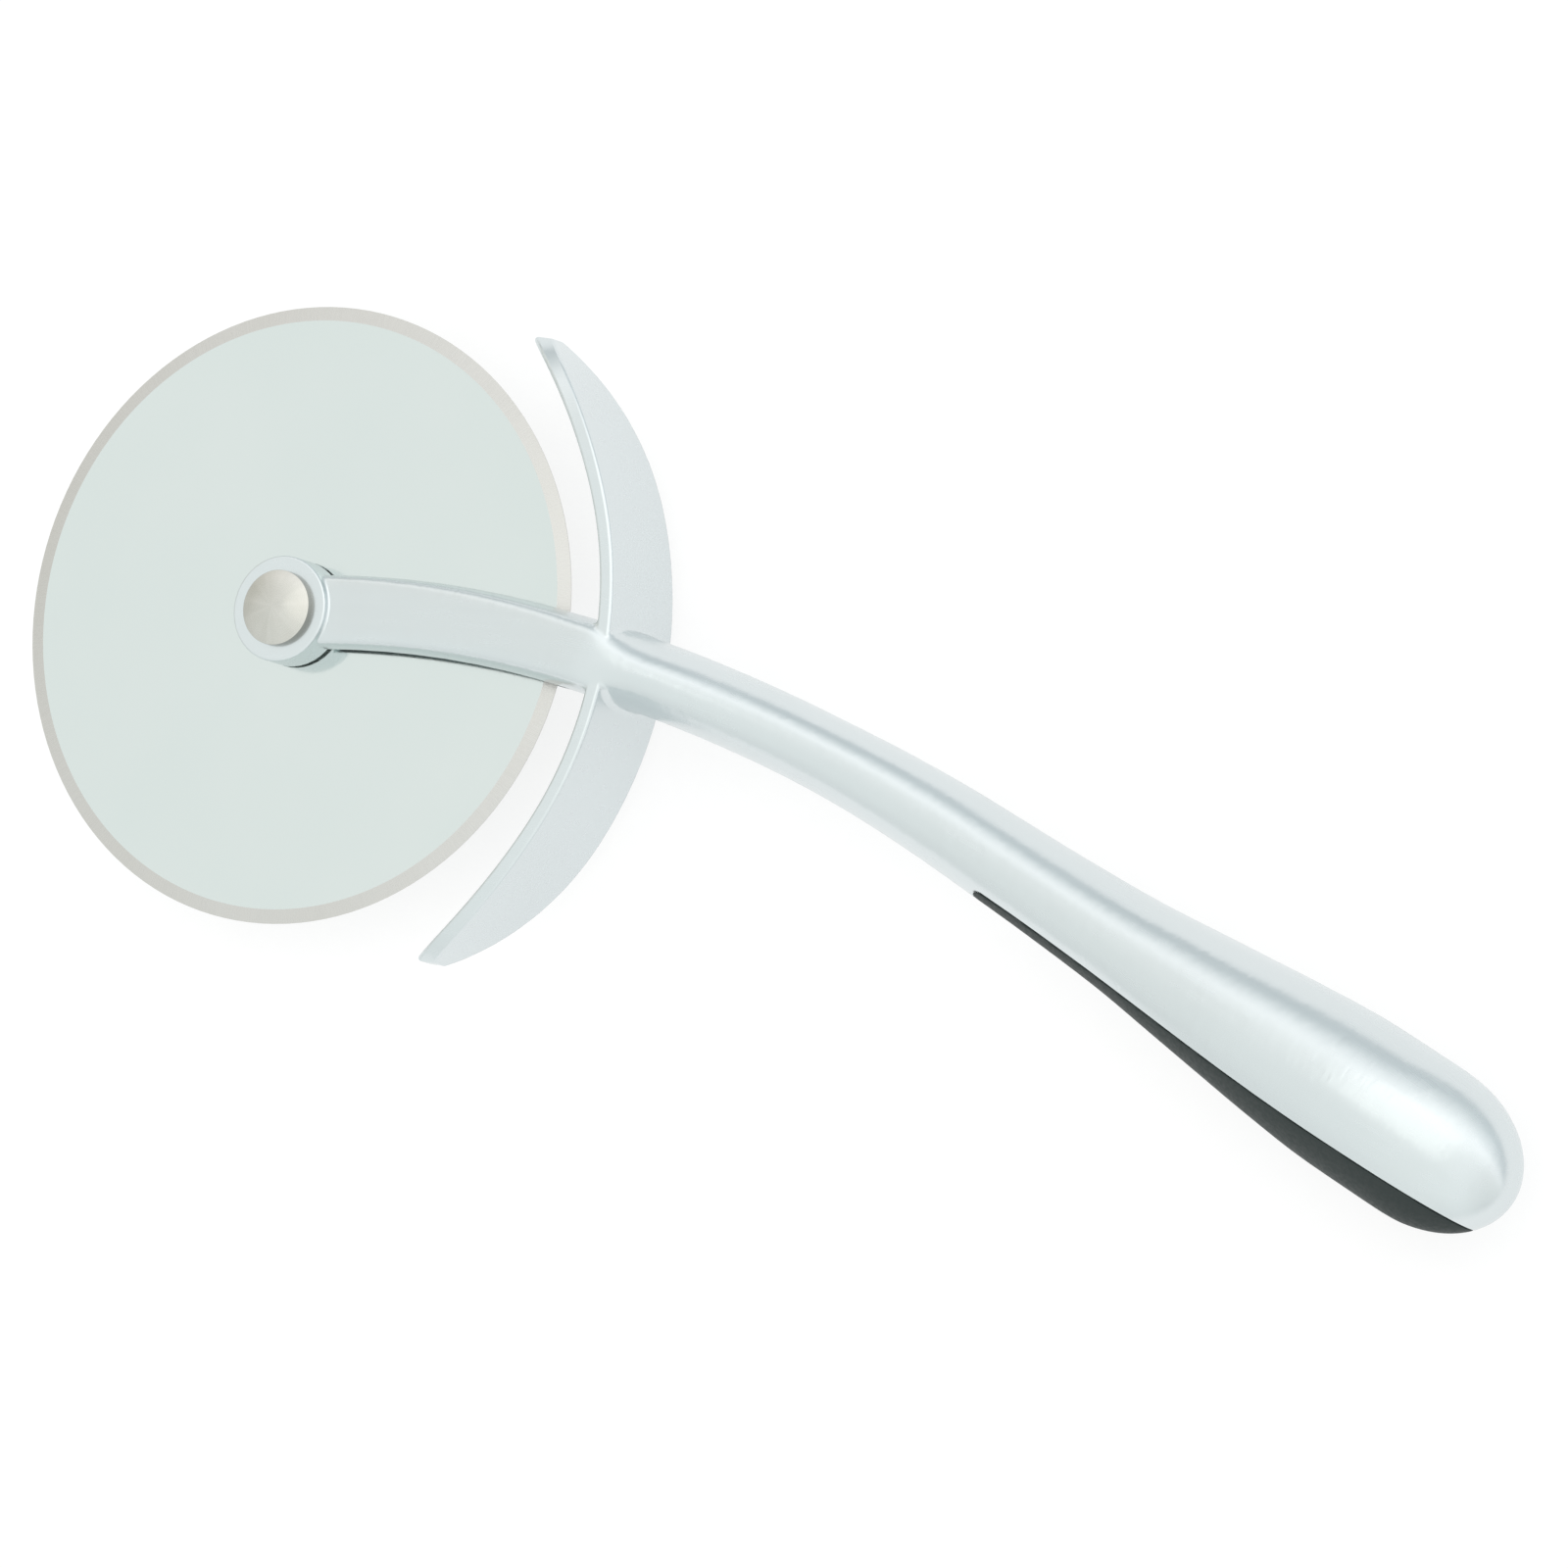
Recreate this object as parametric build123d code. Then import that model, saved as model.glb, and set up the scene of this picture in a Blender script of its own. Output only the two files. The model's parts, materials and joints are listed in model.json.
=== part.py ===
from build123d import *
import math
import os

# A pizza cutter wheel lying on its side. All lengths are in millimetres.
# The model is drawn round the blade's axle: X towards the end of the handle, Y up the side
# of the handle that bears on the palm, and Z along the axle, with the blade's middle at zero.
# At the end it moves to the middle of its own footprint, with its lowest point at zero.

# Blade
blade_diameter = 90.0
blade_thickness = 1.0
bevel_width = 2.05
cutting_edge_thickness = 0.15

# Rivet, bush and washers
rivet_diameter = 6.0
rivet_post_diameter = 3.6
rivet_head_diameter = 10.9
rivet_head_rim = 0.9
rivet_head_dome = 1.3
rivet_tip_gap = 0.4
rivet_seat_clearance = 0.03
running_clearance = 0.05
bush_wall = 1.6
washer_thickness = 0.5
washer_ring_width = 2.0
side_play = 0.08
washer_clearance = 0.08

# Fork arms and bosses
boss_diameter = 15.4
boss_half_span = 6.0
boss_edge_radius = 0.35
boss_root_radius = 0.4
fork_half_span = 5.2
fork_gap = 4.0
fork_gap_at_root = 9.0
arm_half_height = 5.1
slot_past_rim = 4.0
flat_past_rim = 8.0
neck_blend_length = 9.0

# Spine of the arms, neck and handle: two bends, then straight
arm_angle = 29.0
neck_angle = 13.0
grip_angle = -1.17
arm_bend_radius = 172.3
neck_bend_radius = 288.4
handle_reach = 218.4

# Handle
neck_half_height = 5.45
bulge_half_height = 11.45
bulge_half_width = 11.2
end_round_length = 16.5
end_taper_length = 30.0
end_round_turns = (20, 38, 54, 67, 78)
casting_wall = 2.2

# Guard, an arc whose centre lies a little ahead of the axle and below it
guard_centre_ahead = 0.8
guard_centre_drop = 1.1
guard_gap = 9.45
guard_thickness = 2.3
guard_half_width = 8.9
guard_angle = 20.9
guard_half_angle = 53.5
guard_edge_radius = 0.5
guard_root_radius = 1.0

# Soft pad and its carrier
grip_length = 98.4
grip_entry_radius = 4.0
skin_thickness = 2.0
seat_clearance = 0.1
bond_gap = 0.05
ledge_width = 1.8
channel_setback = 20.0
keel_margin = 9.3
peg_radius = 1.7
socket_wall = 1.4
peg_length = 6.0
peg_root = 0.5
peg_tip_gap = 0.5
socket_setback = 0.3
overrun = 4.0
match_tolerance = 0.02

# How round the sections are: 1 is an ellipse, and a small share is nearly a rectangle
fork_roundness_share = 0.25
neck_roundness_share = 0.4
fork_draft_share = 0.05

# How finely the form is drawn: points round a section, and the distance between sections
section_points = 48
section_spacing = 4.2

# Width of the guard against distance from its middle, as shares of its half width and chord
guard_outline_shares = [
    (0.0, 1.0),
    (0.45, 0.985),
    (0.72, 0.905),
    (0.86, 0.7),
    (0.96, 0.39),
    (1.0, 0.17),
]

# Swell of the handle against distance along the spine: 0 is the neck's size and 1 the bulge's
swell_shares = [
    (0.36, 0.0),
    (0.41, 0.01),
    (0.457, 0.048),
    (0.502, 0.1),
    (0.545, 0.147),
    (0.588, 0.19),
    (0.632, 0.255),
    (0.677, 0.352),
    (0.722, 0.52),
    (0.767, 0.69),
    (0.812, 0.855),
    (0.855, 0.974),
    (0.895, 1.0),
]

# Half width of the handle against distance along the spine, as shares of the bulge's
width_shares = [
    (0.24, 0.86),
    (0.28, 0.81),
    (0.32, 0.735),
    (0.37, 0.67),
    (0.43, 0.645),
    (0.5, 0.655),
    (0.57, 0.7),
    (0.64, 0.77),
    (0.71, 0.86),
    (0.78, 0.955),
    (0.83, 0.99),
    (0.87, 1.0),
]

# The pad's parting line: its depths as shares of the form's half height, and where along the
# spine it stops falling; then the pegs' places along the spine
parting_front_share = 0.74
parting_rear_share = 0.568
parting_level_share = 0.87
peg_place_shares = (0.733, 0.888)
channel_front_round_share = 0.9
channel_rear_round_share = 0.6

# Places worked out from the sizes above
blade_radius = blade_diameter / 2
boss_inner_face = blade_thickness / 2 + side_play + washer_thickness
bush_radius = rivet_diameter / 2 + running_clearance + bush_wall
rivet_shank_length = 2 * boss_half_span - rivet_tip_gap
guard_inner_radius = blade_radius + guard_gap
guard_outer_radius = guard_inner_radius + guard_thickness
guard_centre = (guard_centre_ahead, -guard_centre_drop, 0)
fork_flat_length = blade_radius + flat_past_rim
arm_bend_length = arm_bend_radius * math.radians(arm_angle - neck_angle)
neck_bend_length = neck_bend_radius * math.radians(neck_angle - grip_angle)
upright = (Align.CENTER, Align.CENTER, Align.MIN)
hanging = (Align.CENTER, Align.CENTER, Align.MAX)


# Spine
def bend(start, heading, radius, distance):
    """The point and heading after a clockwise bend of this length."""
    turned = heading - math.degrees(distance / radius)
    across = math.sin(math.radians(heading)) - math.sin(math.radians(turned))
    along = math.cos(math.radians(turned)) - math.cos(math.radians(heading))
    return (start[0] + radius * across, start[1] + radius * along), turned


def spine(distance):
    """The point and heading of the spine at this distance from the axle."""
    arm_part = min(distance, arm_bend_length)
    point, heading = bend((0, 0), arm_angle, arm_bend_radius, arm_part)
    neck_part = min(max(distance - arm_bend_length, 0), neck_bend_length)
    point, heading = bend(point, heading, neck_bend_radius, neck_part)
    straight = max(distance - arm_bend_length - neck_bend_length, 0)
    run = straight * math.cos(math.radians(heading))
    rise = straight * math.sin(math.radians(heading))
    return (point[0] + run, point[1] + rise), heading


straight_start = arm_bend_length + neck_bend_length
straight_reach = handle_reach - spine(straight_start)[0][0]
straight_length = straight_reach / math.cos(math.radians(grip_angle))
spine_length = straight_start + straight_length
end_round_start = spine_length - end_round_length
grip_start = spine_length - grip_length
keel_start = peg_place_shares[0] * spine_length - peg_radius - keel_margin


def across_spine(distance):
    """A plane across the spine: its X is up the section and its Y is along the axle."""
    point, heading = spine(distance)
    up = (-math.sin(math.radians(heading)), math.cos(math.radians(heading)), 0)
    ahead = (math.cos(math.radians(heading)), math.sin(math.radians(heading)), 0)
    return Plane(origin=(point[0], point[1], 0), x_dir=up, z_dir=ahead)


# Sections
def section(distance, inset):
    """A closed outline of the form across the spine, drawn in by the inset."""
    half_height, half_width, roundness, draft = form_size(distance)
    power = 2 / roundness
    half_height = (half_height - inset) * rounding(distance, end_round_length, inset)
    half_width = (half_width - inset) * rounding(distance, end_taper_length, inset)
    points = []
    for step in range(section_points):
        turn = 2 * math.pi * step / section_points
        reach = (abs(math.cos(turn)) ** power + abs(math.sin(turn)) ** power) ** (-1 / power)
        height_share = reach * math.cos(turn)
        width_share = reach * math.sin(turn)
        spread = 1 + draft * (1 - width_share**2)
        points.append((half_height * height_share * spread, half_width * width_share))
    parameters = [step / section_points for step in range(section_points + 1)]
    outline = Edge.make_spline(points, periodic=True, parameters=parameters)
    return Wire([across_spine(distance) * outline])


def rounding(distance, length, inset):
    """How much of its size the form keeps in this last length, where it rounds off to its tip."""
    run = max(distance - spine_length + length, 0) / (length - inset)
    return math.sqrt(1 - run**2)


def smooth_curve(table, share):
    """The value at this share of the spine, on a smooth curve through the table's rows."""
    share = min(max(share, table[0][0]), table[-1][0])
    rows = [table[0]] + table + [table[-1]]
    for before, start, end, after in zip(rows, rows[1:], rows[2:], rows[3:]):
        if start[0] <= share <= end[0]:
            width = end[0] - start[0]
            part = (share - start[0]) / width
            leave = (end[1] - before[1]) / (end[0] - before[0]) * width
            arrive = (after[1] - start[1]) / (after[0] - start[0]) * width
            rise = part * part * (3 - 2 * part) * (end[1] - start[1])
            bow = part * (1 - part) * ((1 - part) * leave - part * arrive)
            return start[1] + rise + bow
    return table[-1][1]


def form_size(distance):
    """Half height, half width, roundness and draft of the form, from flat fork to round handle."""
    swell = smooth_curve(swell_shares, distance / spine_length)
    half_height = neck_half_height + swell * (bulge_half_height - neck_half_height)
    half_width = bulge_half_width * smooth_curve(width_shares, distance / spine_length)
    root_half_width = bulge_half_width * width_shares[0][1]
    spread = (distance - boss_diameter / 2) / (fork_flat_length - boss_diameter / 2)
    spread = min(max(spread, 0), 1)
    roundness = fork_roundness_share + spread * (neck_roundness_share - fork_roundness_share)
    arm_half_width = fork_half_span + spread * (root_half_width - fork_half_span)
    along = min(max((distance - fork_flat_length) / neck_blend_length, 0), 1)
    ease = along * along * (3 - 2 * along)
    half_height = arm_half_height + ease * (half_height - arm_half_height)
    half_width = arm_half_width + ease * (half_width - arm_half_width)
    roundness = roundness + ease * (1 - roundness)
    return half_height, half_width, roundness, fork_draft_share * (1 - ease)


parting_front_depth = parting_front_share * form_size(grip_start)[0]
parting_rear_depth = parting_rear_share * bulge_half_height
parting_level_start = parting_level_share * spine_length - straight_start


def form(start, inset):
    """The solid form from this distance to the rounded end, drawn in by the inset."""
    steps = round((end_round_start - start) / section_spacing)
    distances = [start + (end_round_start - start) * step / steps for step in range(steps + 1)]
    for turn in end_round_turns:
        distances.append(end_round_start + (end_round_length - inset) * math.sin(math.radians(turn)))
    tip, _ = spine(spine_length - inset)
    outlines = [section(distance, inset) for distance in distances]
    return Solid.make_loft(outlines + [Vertex(tip[0], tip[1], 0)])


# Guard
def guard_plane():
    """The plane through the guard's centre that faces the guard's middle."""
    outward = (math.cos(math.radians(guard_angle)), math.sin(math.radians(guard_angle)), 0)
    return Plane(origin=guard_centre, x_dir=(-outward[1], outward[0], 0), z_dir=outward)


def guard_outline():
    """The guard's outline, seen along the radius through its middle."""
    chord = guard_outer_radius * math.sin(math.radians(guard_half_angle))
    side = [(chord * along, guard_half_width * across) for along, across in guard_outline_shares]
    upper = [(-along, across) for along, across in reversed(side[1:])] + side
    lower = [(along, -across) for along, across in reversed(upper)]
    edges = [Edge.make_spline(upper), Edge.make_line(upper[-1], lower[0])]
    edges += [Edge.make_spline(lower), Edge.make_line(lower[-1], upper[0])]
    return guard_plane() * Face(Wire(edges))


def guard_blank():
    """A strip of a ring, cut to the lens shaped outline, with all its edges rounded."""
    hoop = Cylinder(guard_outer_radius, 2 * guard_half_width)
    hoop = hoop - Cylinder(guard_inner_radius, 2 * guard_half_width)
    beam = extrude(guard_outline(), guard_outer_radius, dir=guard_plane().z_dir)
    strip = (Pos(guard_centre) * hoop) & beam
    return fillet(strip.edges(), guard_edge_radius)


# Grip
def straight_frame():
    """The frame of the straight handle: X along its spine and Y up."""
    point, heading = spine(straight_start)
    ahead = (math.cos(math.radians(heading)), math.sin(math.radians(heading)), 0)
    return Plane(origin=(point[0], point[1], 0), x_dir=ahead, z_dir=(0, 0, 1))


def grip_zone(clearance):
    """The space under the parting line, which starts in an arc and falls to its rear depth."""
    arc_start = grip_start - straight_start + clearance
    arc_end = arc_start + grip_entry_radius
    far = straight_length + overrun
    depth = parting_front_depth + clearance
    rear_depth = parting_rear_depth + clearance
    arc_foot = depth + grip_entry_radius
    floor = bulge_half_height + overrun
    arc_plane = Plane((arc_end, -arc_foot, 0))
    edges = [Edge.make_circle(grip_entry_radius, arc_plane, start_angle=90, end_angle=180)]
    fall = [(arc_end, -depth), (parting_level_start, -rear_depth)]
    edges.append(Edge.make_spline(fall, tangents=[(1, 0), (1, 0)]))
    corners = [fall[-1], (far, -rear_depth), (far, -floor)]
    corners += [(arc_start, -floor), (arc_start, -arc_foot)]
    edges += [Edge.make_line(start, end) for start, end in zip(corners, corners[1:])]
    profile = straight_frame() * Face(Wire(edges))
    return extrude(profile, bulge_half_width + overrun, both=True)


def half_chord(distance, depth):
    """Half the handle's width at this depth below the spine."""
    half_height, half_width, _, _ = form_size(distance)
    half_width = half_width * rounding(distance, end_taper_length, 0)
    return half_width * math.sqrt(1 - (depth / half_height) ** 2)


def channel():
    """The pocket above the pad, which keeps the casting's wall and leaves a ledge at the sides."""
    front = grip_start + channel_setback
    front_width = half_chord(front, parting_front_depth) - ledge_width
    rear_width = half_chord(end_round_start, parting_rear_depth) - ledge_width
    near = front - straight_start
    far = end_round_start - straight_start
    corners = [(near, -front_width), (far, -rear_width), (far, rear_width), (near, front_width)]
    plan = make_face(Polyline(*corners, close=True))
    plan = fillet(plan.vertices().group_by(Axis.X)[0], front_width * channel_front_round_share)
    plan = fillet(plan.vertices().sort_by(Axis.X)[-2:], rear_width * channel_rear_round_share)
    frame = straight_frame()
    seen_from_above = Plane(origin=frame.origin, x_dir=frame.x_dir, z_dir=frame.y_dir)
    prism = extrude(seen_from_above * plan, bulge_half_height, both=True)
    return prism & form(straight_start, casting_wall)


def peg_planes():
    """Planes on the parting line under each peg, facing up into the channel."""
    frame = straight_frame()
    planes = []
    for share in peg_place_shares:
        along = share * spine_length - straight_start
        front = grip_start - straight_start
        fallen = min((along - front) / (parting_level_start - front), 1)
        depth = parting_front_depth + fallen * (parting_rear_depth - parting_front_depth)
        foot = frame.from_local_coords((along, -depth, 0))
        planes.append(Plane(origin=foot, x_dir=frame.x_dir, z_dir=frame.y_dir))
    return planes


def sockets():
    """The posts inside the channel that the pegs press into, still without their bores."""
    post = Cylinder(peg_radius + socket_wall, 2 * bulge_half_height, align=upright)
    return [plane * Pos(0, 0, socket_setback) * post for plane in peg_planes()]


def pegs(radius, length):
    """Pegs that stand on the carrier, from just below the parting line."""
    peg = Cylinder(radius, length + peg_root, align=upright)
    return [plane * Pos(0, 0, -peg_root) * peg for plane in peg_planes()]


def grip_carrier():
    """The stiff keel inside the soft pad, with its pegs."""
    keel = form(keel_start + bond_gap, skin_thickness + bond_gap) & grip_zone(seat_clearance)
    for peg in pegs(peg_radius, peg_length):
        keel = keel + peg
    return keel


def grip_skin():
    """The soft pad: what the handle's form leaves under the parting line, less its carrier."""
    pad = form(straight_start, 0) & grip_zone(seat_clearance)
    return pad - form(keel_start, skin_thickness)


# Cast frame
def boss():
    """One boss at the end of an arm, with its outer edge rounded."""
    height = boss_half_span - boss_inner_face
    blank = Cylinder(boss_diameter / 2, height, align=upright)
    rounded = fillet(blank.edges().group_by(Axis.Z)[-1], boss_edge_radius)
    return Pos(0, 0, boss_inner_face) * rounded


def lies_on_radius(edge, centre, radius):
    """Whether the whole edge lies at this distance from an upright line through the centre."""
    points = [edge.position_at(share) for share in (0, 0.2, 0.4, 0.6, 0.8)]
    reaches = [math.hypot(point.X - centre[0], point.Y - centre[1]) for point in points]
    return max(abs(reach - radius) for reach in reaches) < match_tolerance


def touches(edge, solid):
    """Whether the whole edge lies on the solid."""
    return all(solid.distance_to(edge.position_at(share)) < match_tolerance for share in (0, 0.5, 1))


def is_boss_root(edge):
    """Whether the arm's outer surface meets the boss along this edge."""
    height = abs(edge.position_at(0.5).Z)
    on_boss = lies_on_radius(edge, (0, 0), boss_diameter / 2)
    between = fork_gap / 2 + match_tolerance < height < boss_half_span - boss_edge_radius
    return on_boss and between


def slot():
    """The gap between the arms: it widens towards the guard's middle and ends past the rim."""
    narrow = fork_gap / 2
    wide = fork_gap_at_root / 2
    start = boss_diameter / 2
    end = blade_radius + slot_past_rim
    upper = [(-end, narrow), (start, narrow), (end, wide)]
    corners = upper + [(along, -across) for along, across in reversed(upper)]
    wedge = extrude(Plane.XZ * make_face(Polyline(*corners, close=True)), end, both=True)
    return (Rot(0, 0, guard_angle) * wedge) & Cylinder(end, 2 * wide)


def handle_casting():
    """Handle, neck, fork arms, bosses and guard in one piece, with the seat of the pad."""
    casting = form(0, 0) - slot()
    for turn in (0, 180):
        casting = casting + Rot(turn, 0, 0) * boss()
    casting = fillet([edge for edge in casting.edges() if is_boss_root(edge)], boss_root_radius)
    guard = guard_blank()
    joined = casting + guard
    roots = [edge for edge in joined.edges() if touches(edge, guard) and touches(edge, casting)]
    casting = fillet(roots, guard_root_radius)
    casting = casting - grip_zone(0) - channel()
    shell = form(straight_start, casting_wall / 2)
    for socket in sockets():
        casting = casting + (socket & shell)
    for bore in pegs(peg_radius, peg_length + peg_tip_gap):
        casting = casting - bore
    rivet_bore = Cylinder(rivet_diameter / 2 + rivet_seat_clearance, 2 * boss_half_span + overrun)
    return casting - rivet_bore


# Wheel
def blade():
    """A disc with a ground bevel on both sides and a hole for its bush."""
    half = blade_thickness / 2
    edge = cutting_edge_thickness / 2
    flat = blade_radius - bevel_width
    corners = [(bush_radius, -half), (flat, -half), (blade_radius, -edge)]
    corners += [(radius, -height) for radius, height in reversed(corners)]
    profile = Plane.XZ * make_face(Polyline(*corners, close=True))
    return revolve(profile, Axis.Z)


def ring(inner_radius, outer_radius, height):
    """A plain ring that stands on the middle plane."""
    disc = Cylinder(outer_radius, height, align=upright)
    return disc - Cylinder(inner_radius, height, align=upright)


def blade_bush():
    """The sleeve in the blade, which reaches between the bosses."""
    half_length = boss_inner_face - side_play
    sleeve = ring(rivet_diameter / 2 + running_clearance, bush_radius, 2 * half_length)
    return Pos(0, 0, -half_length) * sleeve


def washer():
    """A thrust washer round the end of the bush, against the near boss."""
    inner_radius = bush_radius + washer_clearance
    flat_ring = ring(inner_radius, inner_radius + washer_ring_width, washer_thickness)
    return Pos(0, 0, boss_inner_face - washer_thickness) * flat_ring


# Rivet
def rivet_head():
    """A low dome on a short rim, standing on the middle plane."""
    radius = rivet_head_diameter / 2
    crown = rivet_head_rim + rivet_head_dome
    edges = [Edge.make_line((0, 0), (radius, 0))]
    edges.append(Edge.make_line((radius, 0), (radius, rivet_head_rim)))
    dome_radius = (radius**2 + rivet_head_dome**2) / (2 * rivet_head_dome)
    mid_height = crown - dome_radius + math.sqrt(dome_radius**2 - (radius / 2) ** 2)
    dome = Edge.make_three_point_arc((radius, rivet_head_rim), (radius / 2, mid_height), (0, crown))
    edges.append(dome)
    edges.append(Edge.make_line((0, crown), (0, 0)))
    return revolve(Plane.XZ * Face(Wire(edges)), Axis.Z)


def axle_barrel():
    """The near half of the rivet: its head and the hollow barrel that the wheel turns on."""
    barrel = Cylinder(rivet_diameter / 2, rivet_shank_length, align=hanging) + rivet_head()
    bore = Cylinder(rivet_post_diameter / 2, rivet_shank_length, align=hanging)
    return Pos(0, 0, boss_half_span) * (barrel - bore)


def axle_post():
    """The far half of the rivet: its head and the post pressed into the barrel."""
    post = Cylinder(rivet_post_diameter / 2, rivet_shank_length, align=hanging) + rivet_head()
    return Rot(180, 0, 0) * Pos(0, 0, boss_half_span) * post


# The pieces, moved so that the lowest point is at zero and the footprint is centred
def build():
    pieces = {
        "handle_casting": handle_casting(),
        "blade": blade(),
        "blade_bush": blade_bush(),
        "near_washer": washer(),
        "far_washer": Rot(180, 0, 0) * washer(),
        "axle_barrel": axle_barrel(),
        "axle_post": axle_post(),
        "grip_carrier": grip_carrier(),
        "grip_skin": grip_skin(),
    }
    boxes = [piece.bounding_box() for piece in pieces.values()]
    middle_x = (min(box.min.X for box in boxes) + max(box.max.X for box in boxes)) / 2
    middle_y = (min(box.min.Y for box in boxes) + max(box.max.Y for box in boxes)) / 2
    lowest = min(box.min.Z for box in boxes)
    return {name: Pos(-middle_x, -middle_y, -lowest) * piece for name, piece in pieces.items()}


os.makedirs("parts", exist_ok=True)
for name, piece in build().items():
    export_step(piece, f"parts/{name}.step")
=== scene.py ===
import json
import math

import bpy
from mathutils import Matrix, Vector

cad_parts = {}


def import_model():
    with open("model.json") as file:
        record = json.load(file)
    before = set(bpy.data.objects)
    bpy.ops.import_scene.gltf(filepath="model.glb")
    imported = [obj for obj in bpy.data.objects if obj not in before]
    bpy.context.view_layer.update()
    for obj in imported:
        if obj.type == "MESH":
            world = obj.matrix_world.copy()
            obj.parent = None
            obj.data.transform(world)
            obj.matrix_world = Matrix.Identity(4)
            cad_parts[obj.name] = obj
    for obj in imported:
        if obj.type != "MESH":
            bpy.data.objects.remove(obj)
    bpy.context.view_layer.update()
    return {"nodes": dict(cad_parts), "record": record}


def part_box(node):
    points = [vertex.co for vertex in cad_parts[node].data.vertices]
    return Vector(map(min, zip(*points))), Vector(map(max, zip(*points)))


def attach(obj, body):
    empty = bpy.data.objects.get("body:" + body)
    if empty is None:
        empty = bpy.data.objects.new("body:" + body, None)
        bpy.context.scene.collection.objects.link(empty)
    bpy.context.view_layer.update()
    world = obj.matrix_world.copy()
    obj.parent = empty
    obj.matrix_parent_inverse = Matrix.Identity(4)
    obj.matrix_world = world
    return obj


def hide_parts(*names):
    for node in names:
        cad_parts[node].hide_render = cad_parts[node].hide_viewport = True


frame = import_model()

scene = bpy.context.scene
scene.view_settings.view_transform = "Standard"

# Places and sizes on the object, in metres
blade_low, blade_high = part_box("blade")
HUB = (blade_low + blade_high) / 2
BLADE_RADIUS = (blade_high.x - blade_low.x) / 2
BEVEL_WIDTH = 0.00205
HEAD_RADIUS = (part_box("axle_barrel")[1].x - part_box("axle_barrel")[0].x) / 2
ARM_SLOPE = 0.554
BEND_REACH = 0.115
PAD_VOXEL = 0.00025
PAD_SMOOTHING = 6

# Materials: how fine each pattern is, per metre, or per radian round the axle
STREAK_ALONG = 60.0
STREAK_ACROSS = 800.0
FLAT_RINGS = 2600.0
BEVEL_LINES = 420.0
BEVEL_LINE_REACH = 260.0
HEAD_RINGS = 9000.0
PLASTIC_GRAIN = 900.0
PAD_GRAIN = 1500.0
FLOOR_GRAIN = 400.0
# Where the painted shadow round the seat of the rivet head starts, as a share of the head's
# radius
SEAT_SHADOW_SHARE = 0.995

# Camera: far away with a long lens, as the photo is nearly parallel
LENS = 478.4
SENSOR = 36.0
CLIP_START = 0.1
CLIP_END = 50.0
VIEW_ROTATION = Vector((2.91961289, 0.46319251, -0.80395996))
VIEW_OFFSET = Vector((-0.06966432, -0.02434587, 3.00028886))
PART_TURN = math.radians(-12.38)

# Light: the floor with its own glow, and the lamp
FLOOR_SIZE = 6.0
FLOOR_GLOW = 0.79
KEY_PLACE = Vector((0.0, 0.42, 1.3))
KEY_SIZE = 1.0
KEY_POWER = 0.9
KEY_COLOUR = (1.0, 0.975, 0.93)


def photo_camera():
    """A camera that sees the part as the photo does."""
    turn = Matrix.Rotation(VIEW_ROTATION.length, 3, VIEW_ROTATION.normalized())
    turn = turn @ Matrix.Rotation(PART_TURN, 3, "Z")
    eye = HUB - turn.transposed() @ VIEW_OFFSET
    right, down, ahead = turn
    data = bpy.data.cameras.new("camera")
    data.lens = LENS
    data.sensor_width = SENSOR
    data.clip_start = CLIP_START
    data.clip_end = CLIP_END
    camera = bpy.data.objects.new("camera", data)
    scene.collection.objects.link(camera)
    basis = Matrix((right, -down, -ahead)).transposed().to_4x4()
    camera.matrix_world = Matrix.Translation(eye) @ basis
    scene.camera = camera


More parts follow.
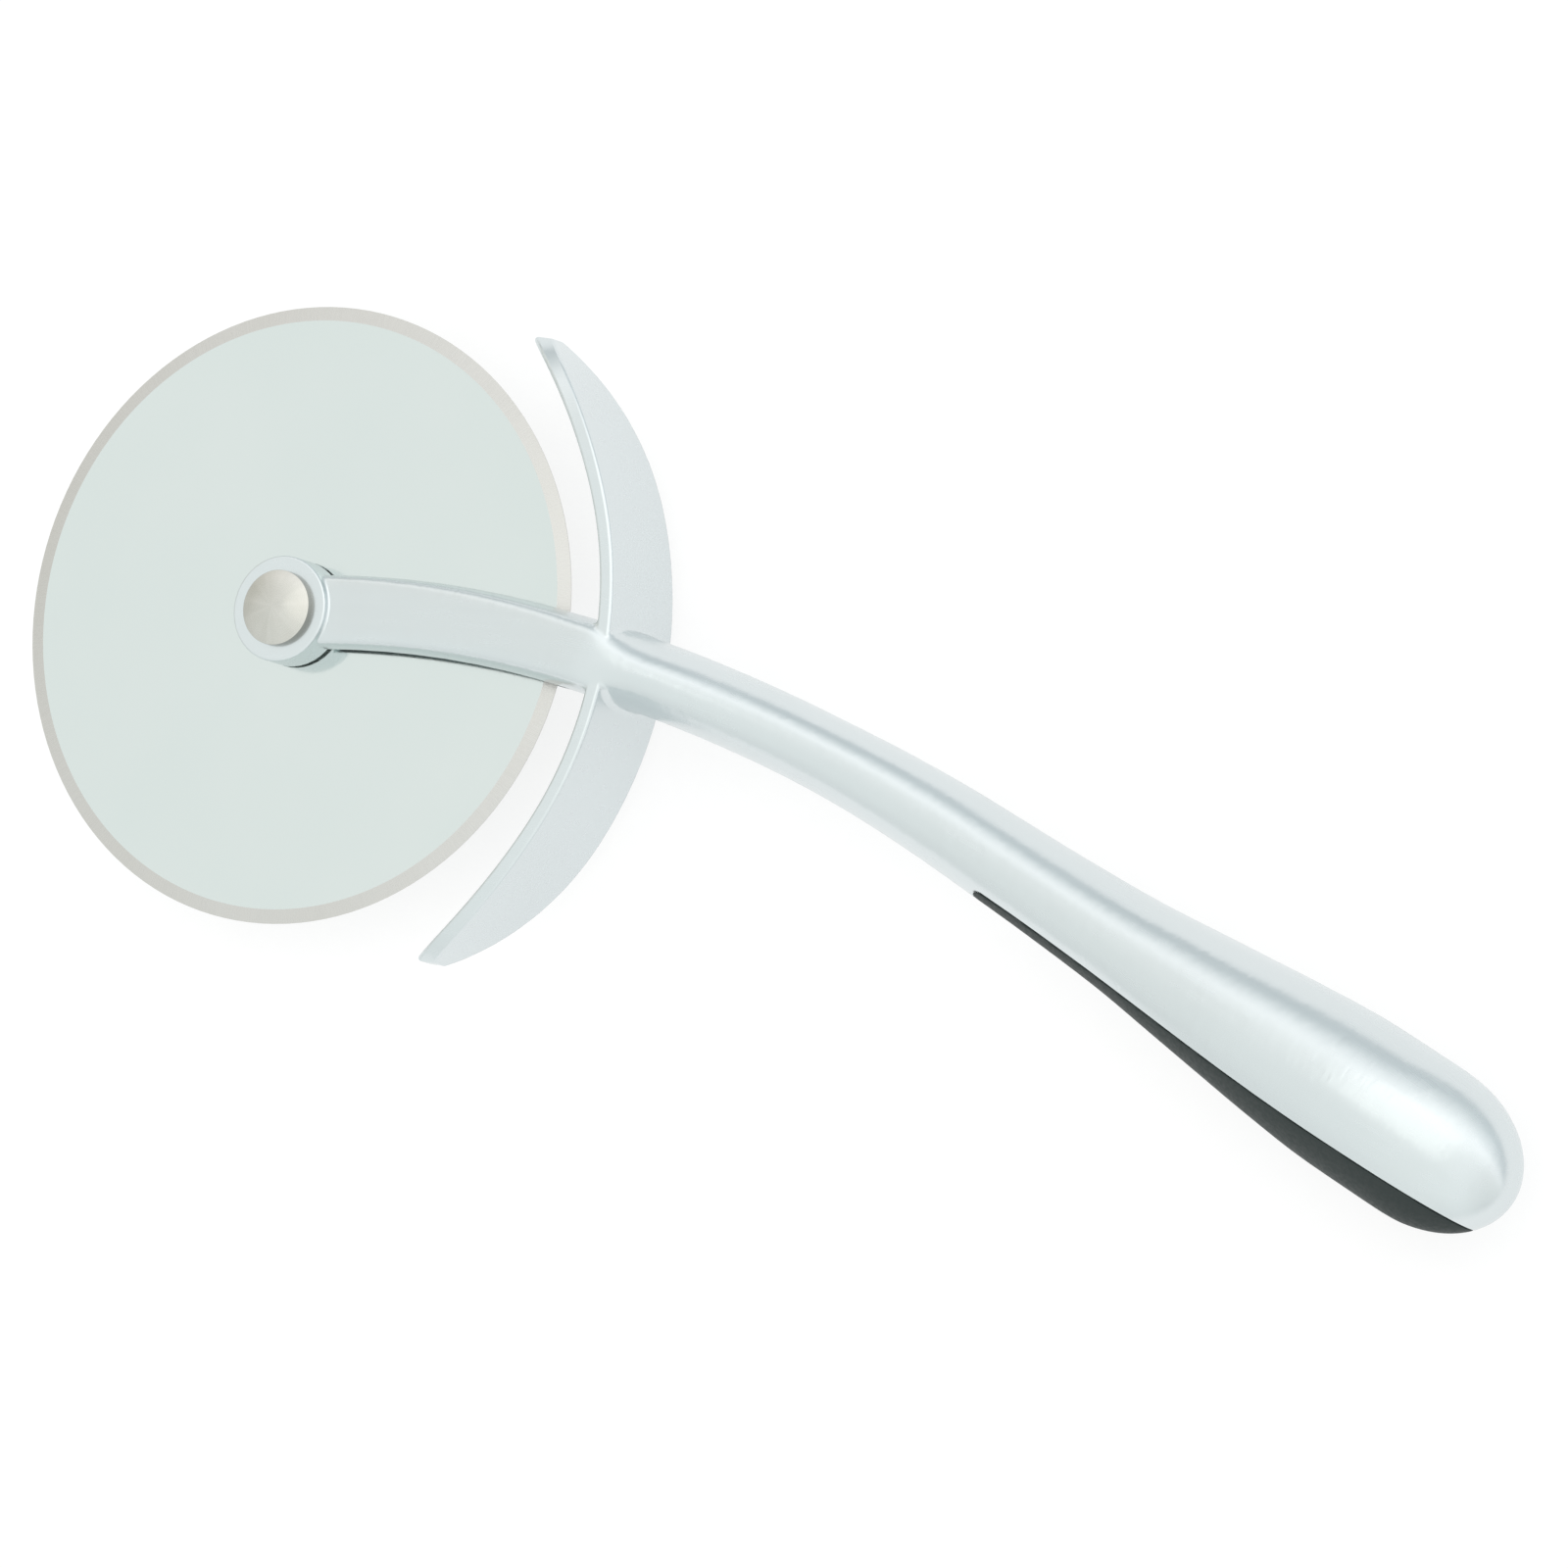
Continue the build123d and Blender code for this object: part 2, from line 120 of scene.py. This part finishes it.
class Nodes:
    """Short calls for building a node tree."""

    def __init__(self, tree):
        self.tree = tree

    def add(self, kind, **settings):
        node = self.tree.nodes.new(kind)
        for key, value in settings.items():
            setattr(node, key, value)
        return node

    def put(self, socket, value):
        """Link a socket to this value, or set it."""
        if isinstance(value, bpy.types.NodeSocket):
            self.tree.links.new(value, socket)
        else:
            socket.default_value = value

    def math(self, operation, first, second=0.0):
        node = self.add("ShaderNodeMath", operation=operation)
        self.put(node.inputs[0], first)
        self.put(node.inputs[1], second)
        return node.outputs[0]

    def mix(self, factor, first, second):
        """A blend of two colours, or of two grey levels."""
        node = self.add("ShaderNodeMix", data_type="RGBA")
        self.put(node.inputs["Factor"], factor)
        for socket, value in (("A", first), ("B", second)):
            if isinstance(value, tuple):
                value = (*value, 1.0)
            self.put(node.inputs[socket], value)
        return node.outputs["Result"]

    def tint(self, first, second):
        """One colour times another."""
        node = self.add("ShaderNodeMix", data_type="RGBA", blend_type="MULTIPLY")
        self.put(node.inputs["Factor"], 1.0)
        self.put(node.inputs["A"], first)
        self.put(node.inputs["B"], second)
        return node.outputs["Result"]

    def ramp(self, factor, stops):
        """A smooth ramp through places and their levels or colours."""
        node = self.add("ShaderNodeValToRGB")
        ramp = node.color_ramp
        ramp.interpolation = "EASE"
        while len(ramp.elements) < len(stops):
            ramp.elements.new(1.0)
        for element, (place, value) in zip(ramp.elements, stops):
            element.position = place
            if not isinstance(value, tuple):
                value = (value, value, value)
            element.color = (*value, 1.0)
        self.put(node.inputs[0], factor)
        return node.outputs[0]

    def noise(self, vector, scale, detail=3.0, rough=0.5):
        node = self.add("ShaderNodeTexNoise")
        self.put(node.inputs["Vector"], vector)
        self.put(node.inputs["Scale"], scale)
        self.put(node.inputs["Detail"], detail)
        self.put(node.inputs["Roughness"], rough)
        return node.outputs["Fac"]

    def place(self):
        """The place on the piece, which turns with it, from the middle of the blade."""
        place = self.add("ShaderNodeTexCoord").outputs["Object"]
        moved = self.add("ShaderNodeVectorMath", operation="SUBTRACT")
        self.put(moved.inputs[0], place)
        self.put(moved.inputs[1], HUB)
        return moved.outputs[0]

    def join(self, x=0.0, y=0.0, z=0.0):
        node = self.add("ShaderNodeCombineXYZ")
        for socket, value in zip(node.inputs, (x, y, z)):
            self.put(socket, value)
        return node.outputs[0]

    def split(self, vector):
        node = self.add("ShaderNodeSeparateXYZ")
        self.put(node.inputs[0], vector)
        return node.outputs

    def polar(self):
        """How far from the axle a point lies, and at what angle round it."""
        x, y, z = self.split(self.place())
        squares = self.math("ADD", self.math("MULTIPLY", x, x), self.math("MULTIPLY", y, y))
        return self.math("SQRT", squares), self.math("ARCTAN2", y, x)

    def bump(self, height, strength, distance, below=None):
        node = self.add("ShaderNodeBump")
        self.put(node.inputs["Height"], height)
        self.put(node.inputs["Strength"], strength)
        self.put(node.inputs["Distance"], distance)
        if below is not None:
            self.put(node.inputs["Normal"], below)
        return node.outputs["Normal"]


def material(name, base, metallic, roughness):
    """A named material with its node helper and its shader."""
    made = bpy.data.materials.new(name)
    made.use_nodes = True
    shader = made.node_tree.nodes["Principled BSDF"]
    shader.inputs["Base Color"].default_value = (*base, 1.0)
    shader.inputs["Metallic"].default_value = metallic
    shader.inputs["Roughness"].default_value = roughness
    return made, Nodes(made.node_tree), shader


def satin_chrome():
    """Satin chrome on a casting: fine polishing streaks that follow the bent handle."""
    made, n, shader = material("satin_chrome", (0.70, 0.745, 0.77), 1.0, 0.24)
    x, y, z = n.split(n.place())
    run = n.math("MAXIMUM", n.math("MINIMUM", x, BEND_REACH), 0.0)
    bow = n.math("MULTIPLY", n.math("MULTIPLY", run, run), ARM_SLOPE / (2 * BEND_REACH))
    spine = n.math("SUBTRACT", n.math("MULTIPLY", run, ARM_SLOPE), bow)
    across = n.math("SUBTRACT", y, spine)
    along = n.math("MULTIPLY", x, STREAK_ALONG)
    across = n.math("MULTIPLY", across, STREAK_ACROSS)
    streak_place = n.join(along, across, n.math("MULTIPLY", z, STREAK_ACROSS))
    streaks = n.noise(streak_place, 1.0, 3.0, 0.5)
    cloud = n.noise(n.place(), 45.0)
    tone = n.mix(streaks, (0.685, 0.735, 0.745), (0.72, 0.77, 0.78))
    tone = n.mix(n.math("MULTIPLY", cloud, 0.5), tone, (0.705, 0.755, 0.765))
    n.put(shader.inputs["Base Color"], tone)
    patchy = n.math("ADD", n.math("MULTIPLY", streaks, 0.6), n.math("MULTIPLY", cloud, 0.4))
    n.put(shader.inputs["Roughness"], n.ramp(patchy, [(0.3, 0.22), (0.7, 0.29)]))
    wave = n.bump(n.noise(n.place(), 70.0, 1.0), 0.015, 0.0006)
    n.put(shader.inputs["Normal"], n.bump(streaks, 0.012, 0.00002, wave))
    return made


def blade_steel():
    """Polished flats with faint grinding rings, and a ground bevel with short lines across it."""
    made, n, shader = material("blade_steel", (0.77, 0.83, 0.81), 1.0, 0.12)
    reach, angle = n.polar()
    bevel = n.math("GREATER_THAN", reach, BLADE_RADIUS - BEVEL_WIDTH)
    ring_place = n.join(n.math("MULTIPLY", reach, FLAT_RINGS), n.math("MULTIPLY", angle, 1.2))
    rings = n.noise(ring_place, 1.0, 4.0, 0.6)
    line_turn = n.math("MULTIPLY", angle, BEVEL_LINES)
    line_place = n.join(line_turn, n.math("MULTIPLY", reach, BEVEL_LINE_REACH))
    lines = n.noise(line_place, 1.0, 4.0, 0.7)
    cloud = n.noise(n.place(), 40.0)
    flat = n.mix(cloud, (0.67, 0.74, 0.725), (0.72, 0.77, 0.755))
    flat = n.mix(n.math("MULTIPLY", rings, 0.25), flat, (0.74, 0.775, 0.755))
    ground = n.mix(lines, (0.545, 0.54, 0.52), (0.745, 0.74, 0.715))
    # Darker brownish patches on the bevel, at random: grinding variation, and painted reflection
    # tones.
    grinding_and_reflection_tone = n.mix(n.noise(n.place(), 30.0, 2.0), (0.585, 0.565, 0.52), (0.705, 0.705, 0.695))
    ground = n.mix(0.5, ground, grinding_and_reflection_tone)
    n.put(shader.inputs["Base Color"], n.mix(bevel, flat, ground))
    flat_rough = n.ramp(rings, [(0.3, 0.10), (0.7, 0.17)])
    ground_rough = n.ramp(lines, [(0.3, 0.24), (0.7, 0.36)])
    n.put(shader.inputs["Roughness"], n.mix(bevel, flat_rough, ground_rough))
    height = n.mix(bevel, n.math("MULTIPLY", rings, 0.12), lines)
    n.put(shader.inputs["Normal"], n.bump(height, 0.25, 0.00004))
    return made


def rivet_steel():
    """Turned stainless steel: fine rings round the axle, which spread each light into a fan.
    Darker fan sectors are also painted into its colour as painted reflection shade, and a painted
    shadow line runs round the seat of the head.
    """
    made, n, shader = material("rivet_steel", (0.74, 0.72, 0.66), 1.0, 0.26)
    shader.inputs["Anisotropic"].default_value = 0.6
    tangent = n.add("ShaderNodeTangent", direction_type="RADIAL", axis="Z")
    n.put(shader.inputs["Tangent"], tangent.outputs[0])
    reach, angle = n.polar()
    rings = n.noise(n.join(n.math("MULTIPLY", reach, HEAD_RINGS)), 1.0, 3.0, 0.6)
    # Painted reflection fans: darker sectors round the axle, painted into the colour to stand in
    # for the fans of light on the turned head.
    painted_fans = n.noise(n.join(n.math("SINE", angle), n.math("COSINE", angle)), 2.2, 2.0)
    cloud = n.noise(n.place(), 300.0)
    tone = n.mix(cloud, (0.63, 0.62, 0.575), (0.76, 0.755, 0.72))
    tone = n.mix(painted_fans, tone, (0.53, 0.53, 0.485))
    # Painted shadow: a dark line round the rim of the head, where it sits on the boss.
    painted_seat_shadow = n.math("GREATER_THAN", reach, HEAD_RADIUS * SEAT_SHADOW_SHARE)
    n.put(shader.inputs["Base Color"], n.mix(painted_seat_shadow, tone, (0.34, 0.335, 0.31)))
    n.put(shader.inputs["Roughness"], n.ramp(rings, [(0.3, 0.20), (0.7, 0.32)]))
    n.put(shader.inputs["Normal"], n.bump(rings, 0.25, 0.00003))
    return made


def plastic(name, dark, light, roughness, grain):
    """Moulded plastic or rubber with a fine grain."""
    made, n, shader = material(name, light, 0.0, roughness)
    speck = n.noise(n.place(), grain)
    n.put(shader.inputs["Base Color"], n.mix(speck, dark, light))
    rough = n.ramp(speck, [(0.3, roughness - 0.06), (0.7, roughness + 0.08)])
    n.put(shader.inputs["Roughness"], rough)
    n.put(shader.inputs["Normal"], n.bump(speck, 0.3, 0.00004))
    return made


finishes = {
    "satin_chrome": satin_chrome(),
    "blade_steel": blade_steel(),
    "rivet_steel": rivet_steel(),
}
for name, dark, light, roughness, grain in (
    ("bearing_plastic", (0.70, 0.69, 0.65), (0.80, 0.79, 0.75), 0.45, PLASTIC_GRAIN),
    ("carrier_plastic", (0.02, 0.02, 0.02), (0.035, 0.035, 0.035), 0.5, PLASTIC_GRAIN),
    ("soft_pad", (0.010, 0.018, 0.017), (0.021, 0.033, 0.032), 0.62, PAD_GRAIN),
):
    finishes[name] = plastic(name, dark, light, roughness, grain)
for part in frame["record"]["subparts"]:
    node = frame["nodes"][part["node"]]
    node.data.materials.clear()
    node.data.materials.append(finishes[part["material_slot"]])


def soft_pad():
    """The moulded pad, with the rolled edges that rubber has along the metal."""
    piece = bpy.data.objects.new("pad", frame["nodes"]["grip_skin"].data.copy())
    scene.collection.objects.link(piece)
    remesh = piece.modifiers.new("remesh", "REMESH")
    remesh.mode = "VOXEL"
    remesh.voxel_size = PAD_VOXEL
    remesh.use_smooth_shade = True
    smooth = piece.modifiers.new("smooth", "SMOOTH")
    smooth.factor = 0.5
    smooth.iterations = PAD_SMOOTHING
    graph = bpy.context.evaluated_depsgraph_get()
    rolled = bpy.data.meshes.new_from_object(piece.evaluated_get(graph))
    piece.modifiers.clear()
    piece.data = rolled
    piece.data.materials.clear()
    piece.data.materials.append(finishes["soft_pad"])
    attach(piece, "frame")
    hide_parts("grip_skin")


def floor():
    """A plain pale floor that keeps a faint shadow."""
    mesh = bpy.data.meshes.new("floor")
    signs = ((-1, -1), (1, -1), (1, 1), (-1, 1))
    corners = [(FLOOR_SIZE * across, FLOOR_SIZE * along, 0) for across, along in signs]
    mesh.from_pydata(corners, [], [(0, 1, 2, 3)])
    piece = bpy.data.objects.new("floor", mesh)
    scene.collection.objects.link(piece)
    made, n, shader = material("floor", (0.25, 0.25, 0.25), 0.0, 0.9)
    shader.inputs["Specular IOR Level"].default_value = 0.0
    speck = n.noise(n.place(), FLOOR_GRAIN)
    n.put(shader.inputs["Base Color"], n.mix(speck, (0.24, 0.24, 0.24), (0.26, 0.26, 0.26)))
    shader.inputs["Emission Color"].default_value = (1.0, 1.0, 1.0, 1.0)
    n.put(shader.inputs["Emission Strength"], n.math("MULTIPLY", seen_rays(n), FLOOR_GLOW))
    mesh.materials.append(made)


def seen_rays(n):
    """One for what the camera sees, straight or in a mirror or glass, and zero for the rest."""
    path = n.add("ShaderNodeLightPath").outputs
    mirrored = n.math("MAXIMUM", path["Is Glossy Ray"], path["Is Transmission Ray"])
    return n.math("MAXIMUM", path["Is Camera Ray"], mirrored)


def world():
    """A soft pale sky: bright beside the top, greyer low on the palm side and past the wheel."""
    made = bpy.data.worlds.new("world")
    scene.world = made
    made.use_nodes = True
    n = Nodes(made.node_tree)
    background = made.node_tree.nodes["Background"]
    x, y, z = n.split(n.add("ShaderNodeTexCoord").outputs["Generated"])
    turn = n.math("ADD", n.math("DIVIDE", n.math("ARCTAN2", y, z), 2 * math.pi), 0.5)
    sky = n.ramp(turn, [
        (0.25, (0.88, 0.905, 0.90)),
        (0.40, (0.97, 0.995, 0.985)),
        (0.54, (1.03, 1.045, 1.035)),
        (0.58, (1.15, 1.16, 1.155)),
        (0.61, (1.28, 1.28, 1.28)),
        (0.64, (1.16, 1.175, 1.18)),
        (0.675, (0.92, 0.955, 0.965)),
        (0.705, (0.71, 0.76, 0.78)),
        (0.75, (0.67, 0.715, 0.735)),
    ])
    fall = n.ramp(n.math("ADD", n.math("MULTIPLY", x, 0.5), 0.5), [
        (0.0, (0.76, 0.745, 0.71)),
        (0.12, (0.94, 0.93, 0.92)),
        (0.25, (1.0, 1.0, 1.0)),
        (0.55, (1.04, 1.04, 1.035)),
        (0.75, (1.08, 1.08, 1.08)),
        (0.92, (0.96, 0.96, 0.96)),
    ])
    n.put(background.inputs["Color"], n.tint(sky, fall))


def key_lamp():
    """A large soft lamp, high on the palm side of the handle."""
    data = bpy.data.lights.new("key", "AREA")
    data.size = KEY_SIZE
    data.energy = KEY_POWER
    data.color = KEY_COLOUR
    lamp = bpy.data.objects.new("key", data)
    scene.collection.objects.link(lamp)
    lamp.location = KEY_PLACE
    lamp.rotation_euler = (HUB - KEY_PLACE).to_track_quat("-Z", "Y").to_euler()


photo_camera()
soft_pad()
floor()
world()
key_lamp()
